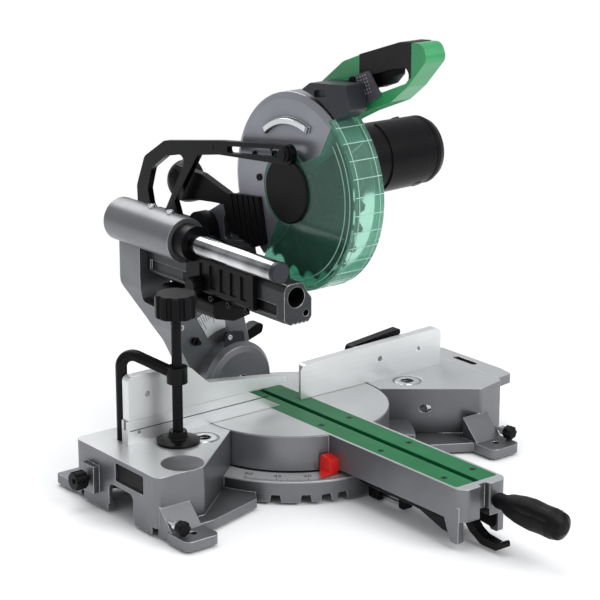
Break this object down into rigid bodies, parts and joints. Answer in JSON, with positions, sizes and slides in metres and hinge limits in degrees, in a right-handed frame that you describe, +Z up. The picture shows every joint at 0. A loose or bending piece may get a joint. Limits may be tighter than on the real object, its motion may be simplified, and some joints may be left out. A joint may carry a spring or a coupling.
{
  "type": "sliding miter saw",
  "caption": "Sliding compound miter saw: a hinged, guarded blade head on a sliding carriage over a rotating table with fences, a work vise and a table extension.",
  "frame": {"origin": "centre of the turntable's pivot on the bench plane, at the lower face of the base's centre boss", "axes": "+Z up; +Y from the operator to the rear, along the blade's plane at zero miter; +X to the operator's right"},
  "size_m": [0.5873, 0.7138, 0.5293],
  "materials": {
    "cast": "grey powder-painted casting, fine texture",
    "machined": "machined faces with fine milling lines",
    "green": "moulded green plastic, fine grain",
    "clear_green": "translucent green guard, lightly scuffed",
    "black": "black moulded plastic",
    "black_metal": "black painted steel",
    "grey": "grey moulded plastic",
    "rubber": "soft black rubber",
    "red": "red moulded pointer",
    "steel": "bright steel",
    "chrome": "polished chrome plate",
    "motor_iron": "laminated motor iron"
  },
  "bodies": {
    "base": {"base_casting": "cast", "miter_scale_ring": "machined", "rubber_feet": "rubber", "left_fence": "machined", "right_fence": "machined", "fence_bolts": "steel"},
    "extension": {"extension_wing": "machined", "extension_rods": "steel"},
    "sliding_fence": {"left_sliding_fence": "machined"},
    "fence_knob": {"fence_clamp_knob": "black"},
    "fence_lever": {"fence_lever": "black"},
    "vise_rod": {"vise_rod": "chrome"},
    "vise_foot": {"vise_foot": "steel"},
    "vise_screw": {"vise_screw": "black"},
    "vise_rod_knob": {"vise_rod_knob": "black"},
    "turntable": {"turntable": "cast", "kerf_inserts": "green", "kerf_screws": "steel", "turntable_pivot_bolt": "steel", "miter_pointer": "red", "bevel_pointer": "red", "detent_bracket": "black"},
    "side_handle": {"side_handle": "black"},
    "detent_lever": {"detent_lever": "black"},
    "detent_pin": {"detent_pin": "steel"},
    "holder": {"bevel_holder": "cast", "lower_rail": "cast", "slide_pole": "chrome", "pole_cap": "black", "bevel_scale_plate": "cast", "bevel_hinge_bolt": "steel"},
    "bevel_lever": {"bevel_clamp_lever": "black"},
    "carriage": {"slide_carriage": "black", "hinge_pins": "steel"},
    "slide_knob": {"slide_lock_knob": "black"},
    "head": {"saw_head_casting": "cast", "gear_case": "black", "spindle_cover": "black_metal", "handle": "green", "handle_grip": "rubber", "laser_block": "grey", "dust_guide": "black", "motor_housing": "black", "motor_end_cap": "black", "brush_caps": "black", "motor_field": "motor_iron", "ball_bearings": "steel"},
    "spindle": {"saw_blade": "steel", "blade_flanges": "steel", "arbor_shaft": "steel", "arbor_bolt": "steel", "output_gear": "steel"},
    "armature": {"armature_shaft": "steel", "armature_core": "motor_iron", "cooling_fan": "black"},
    "lower_guard": {"lower_guard": "clear_green"},
    "guard_link": {"guard_link": "black_metal"},
    "trigger": {"trigger": "grey"},
    "lock_off": {"lock_off_button": "grey"},
    "guard_release": {"guard_release_lever": "grey"}
  },
  "joints": [
    {"name": "miter_turn", "type": "hinge", "parent": "base", "child": "turntable", "pos_m": [0, 0, 0.0715], "axis": [0, 0, 1], "range_deg": [-45, 50]},
    {"name": "bevel_tilt", "type": "hinge", "parent": "turntable", "child": "holder", "pos_m": [0, 0.14, 0.0715], "axis": [0, 1, 0], "range_deg": [-17, 5]},
    {"name": "carriage_slide", "type": "slide", "parent": "holder", "child": "carriage", "axis": [0, -1, 0], "range_m": [0, 0.15]},
    {"name": "head_swing", "type": "hinge", "parent": "carriage", "child": "head", "pos_m": [0, 0.15, 0.258], "axis": [1, 0, 0], "range_deg": [0, 51.6], "stiffness_Nm_per_rad": 5, "springref_deg": -126.05},
    {"name": "blade_spin", "type": "hinge", "parent": "head", "child": "spindle", "pos_m": [0, -0.025, 0.342], "axis": [1, 0, 0], "continuous": true},
    {"name": "armature_spin", "type": "hinge", "parent": "head", "child": "armature", "pos_m": [0, -0.00012, 0.3559], "axis": [1, 0, 0], "continuous": true},
    {"name": "guard_swing", "type": "hinge", "parent": "head", "child": "lower_guard", "pos_m": [0, -0.025, 0.342], "axis": [1, 0, 0], "range_deg": [-137, 0]},
    {"name": "link_swing", "type": "hinge", "parent": "carriage", "child": "guard_link", "pos_m": [-0.032, 0.25, 0.255], "axis": [1, 0, 0], "range_deg": [0, 43]},
    {"name": "trigger_pull", "type": "slide", "parent": "head", "child": "trigger", "axis": [0, 0.299, 0.9543], "range_m": [0, 0.004], "stiffness_N_per_m": 400, "springref_m": -0.002},
    {"name": "lock_off_press", "type": "slide", "parent": "head", "child": "lock_off", "axis": [1, 0, 0], "range_m": [0, 0.003], "stiffness_N_per_m": 300, "springref_m": -0.001},
    {"name": "guard_release_press", "type": "slide", "parent": "head", "child": "guard_release", "axis": [-1, 0, 0], "range_m": [0, 0.003], "stiffness_N_per_m": 300, "springref_m": -0.001},
    {"name": "extension_slide", "type": "slide", "parent": "base", "child": "extension", "axis": [1, 0, 0], "range_m": [0, 0.06]},
    {"name": "fence_slide", "type": "slide", "parent": "base", "child": "sliding_fence", "axis": [-1, 0, 0], "range_m": [0, 0.06]},
    {"name": "fence_knob_turn", "type": "hinge", "parent": "base", "child": "fence_knob", "pos_m": [-0.178, 0.012, 0.0925], "axis": [0, 1, 0], "range_deg": [0, 180]},
    {"name": "fence_lever_turn", "type": "hinge", "parent": "base", "child": "fence_lever", "pos_m": [0.113, 0.016, 0.108], "axis": [0, -1, 0], "range_deg": [0, 60]},
    {"name": "vise_rod_turn", "type": "hinge", "parent": "base", "child": "vise_rod", "pos_m": [-0.228, 0.021, 0.06], "axis": [0, 0, -1], "range_deg": [0, 60]},
    {"name": "vise_foot_lift", "type": "slide", "parent": "vise_rod", "child": "vise_foot", "axis": [0, 0, -1], "range_m": [-0.04, 0]},
    {"name": "vise_screw_turn", "type": "hinge", "parent": "vise_foot", "child": "vise_screw", "pos_m": [-0.184, -0.026, 0.1], "axis": [0, 0, 1], "range_deg": [-7210, 0]},
    {"name": "vise_rod_knob_turn", "type": "hinge", "parent": "base", "child": "vise_rod_knob", "pos_m": [-0.29, 0.021, 0.036], "axis": [1, 0, 0], "range_deg": [0, 180]},
    {"name": "side_handle_turn", "type": "hinge", "parent": "turntable", "child": "side_handle", "pos_m": [0.014, -0.35, 0.052], "axis": [0, 1, 0], "range_deg": [0, 90]},
    {"name": "detent_lever_lift", "type": "hinge", "parent": "turntable", "child": "detent_lever", "pos_m": [0, -0.21, 0.042], "axis": [-1, 0, 0], "range_deg": [0, 6]},
    {"name": "detent_pin_pull", "type": "slide", "parent": "turntable", "child": "detent_pin", "axis": [0, -1, 0], "range_m": [0, 0.0037]},
    {"name": "bevel_lever_turn", "type": "hinge", "parent": "holder", "child": "bevel_lever", "pos_m": [0, 0.168, 0.0715], "axis": [0, 1, 0], "range_deg": [0, 40]},
    {"name": "slide_knob_turn", "type": "hinge", "parent": "carriage", "child": "slide_knob", "pos_m": [-0.092, 0.06, 0.222], "axis": [1, 0, 0], "range_deg": [0, 180]}
  ],
  "couplings": [
    {"joint": "armature_spin", "follows": "blade_spin", "ratio": -3.3846},
    {"joint": "guard_swing", "follows": "head_swing", "ratio": -2.64},
    {"joint": "link_swing", "follows": "head_swing", "ratio": 0.83},
    {"joint": "vise_screw_turn", "follows": "vise_foot_lift", "rad_per_m": 3141.6},
    {"joint": "detent_pin_pull", "follows": "detent_lever_lift", "m_per_rad": 0.034377}
  ]
}
